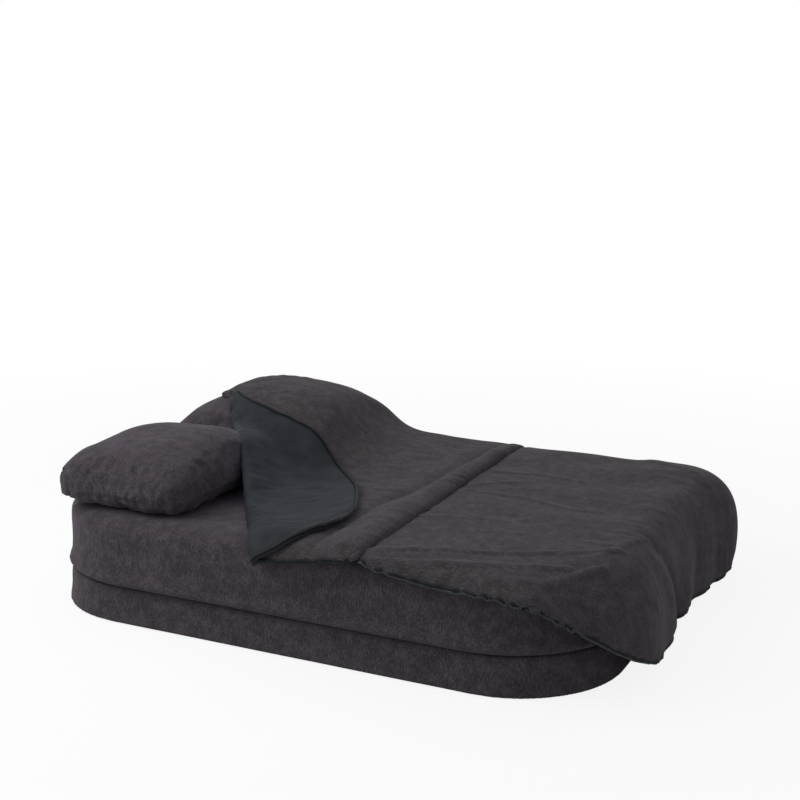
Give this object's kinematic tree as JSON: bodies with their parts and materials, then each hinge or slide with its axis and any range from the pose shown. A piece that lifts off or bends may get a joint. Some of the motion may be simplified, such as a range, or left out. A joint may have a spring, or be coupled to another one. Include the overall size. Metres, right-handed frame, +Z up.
{
  "type": "folding sofa bed",
  "caption": "Upholstered sofa bed with rounded corners, a back that ratchets up from flat, pillows and a two-panel padded quilt.",
  "frame": {"origin": "on the floor, under the middle of the bed as it lies open", "axes": "+X from head to foot, -Y towards the long front side, +Z up"},
  "size_m": [2.157, 1.628, 0.6437],
  "materials": {
    "beech": "clear lacquer",
    "bright_steel": "turned",
    "coated_steel_tube": "powder coated, matt",
    "fibre_wadding": "loose fibre",
    "foam": "open-cell foam",
    "glide_plastic": "moulded, matt",
    "pillow_fibre": "loose fibre",
    "pine_board": "sawn and planed",
    "plywood": "sanded",
    "quilt_velour": "short soft pile",
    "satin_lining": "smooth, slight sheen",
    "underside_nonwoven": "non-woven",
    "velour": "short soft pile",
    "zinc_steel": "zinc plated",
    "zip_tape": "woven tape"
  },
  "bodies": {
    "back_section": {"back_core": "foam", "back_cover": "velour", "back_foot_leg": "coated_steel_tube", "back_foot_rail": "coated_steel_tube", "back_head_leg": "coated_steel_tube", "back_head_rail": "coated_steel_tube", "back_hinge_bolts": "bright_steel", "back_hinge_rail": "coated_steel_tube", "back_leg_glides": "glide_plastic", "back_slats": "beech", "back_top_rail": "coated_steel_tube", "back_wadding": "fibre_wadding", "far_pillow_cover": "velour", "far_pillow_filling": "pillow_fibre", "far_pillow_zip": "zip_tape", "foot_back_plate": "zinc_steel", "head_back_plate": "zinc_steel"},
    "root": {"base_cover": "velour", "base_cross_boards": "pine_board", "base_deck": "plywood", "base_foot_board": "pine_board", "base_front_board": "pine_board", "base_glides": "glide_plastic", "base_head_board": "pine_board", "base_padding": "foam", "base_rear_board": "pine_board", "base_underside_cloth": "underside_nonwoven", "foot_hinge_pin": "bright_steel", "foot_pawl_spring": "bright_steel", "foot_seat_plate": "zinc_steel", "head_hinge_pin": "bright_steel", "head_pawl_spring": "bright_steel", "head_seat_plate": "zinc_steel", "quilt_lower_panel": "quilt_velour", "quilt_lower_zip": "zip_tape", "quilt_seam_tape": "zip_tape", "quilt_turned_corner": "satin_lining", "quilt_upper_panel": "quilt_velour", "quilt_upper_zip": "zip_tape", "seat_core": "foam", "seat_cover": "velour", "seat_foot_rail": "coated_steel_tube", "seat_front_rail": "coated_steel_tube", "seat_head_rail": "coated_steel_tube", "seat_hinge_bolts": "bright_steel", "seat_hinge_rail": "coated_steel_tube", "seat_slats": "beech", "seat_wadding": "fibre_wadding"},
    "foot_pawl": {"foot_pawl": "zinc_steel"},
    "head_pawl": {"head_pawl": "zinc_steel"},
    "near_pillow": {"near_pillow_cover": "velour", "near_pillow_filling": "pillow_fibre", "near_pillow_zip": "zip_tape"}
  },
  "joints": [
    {"name": "back_fold", "type": "hinge", "parent": "root", "child": "back_section", "pos_m": [0, 0, 0.338], "axis": [1, 0, 0], "range_deg": [0, 75], "deforming": ["quilt_lower_panel", "quilt_lower_zip", "quilt_seam_tape", "quilt_turned_corner", "quilt_upper_panel", "quilt_upper_zip", "far_pillow_cover", "far_pillow_filling", "far_pillow_zip"]},
    {"name": "near_pillow_slide", "type": "slide", "parent": "root", "child": "near_pillow", "axis": [-1, 0, 0], "range_m": [0, 0.3]},
    {"name": "head_pawl_swing", "type": "hinge", "parent": "root", "child": "head_pawl", "pos_m": [-0.9478, -0.04159, 0.28644], "axis": [1, 0, 0], "range_deg": [0, 10.5], "stiffness_Nm_per_rad": 0.2},
    {"name": "foot_pawl_swing", "type": "hinge", "parent": "root", "child": "foot_pawl", "pos_m": [0.9478, -0.04159, 0.28644], "axis": [1, 0, 0], "range_deg": [0, 10.5], "stiffness_Nm_per_rad": 0.2}
  ]
}
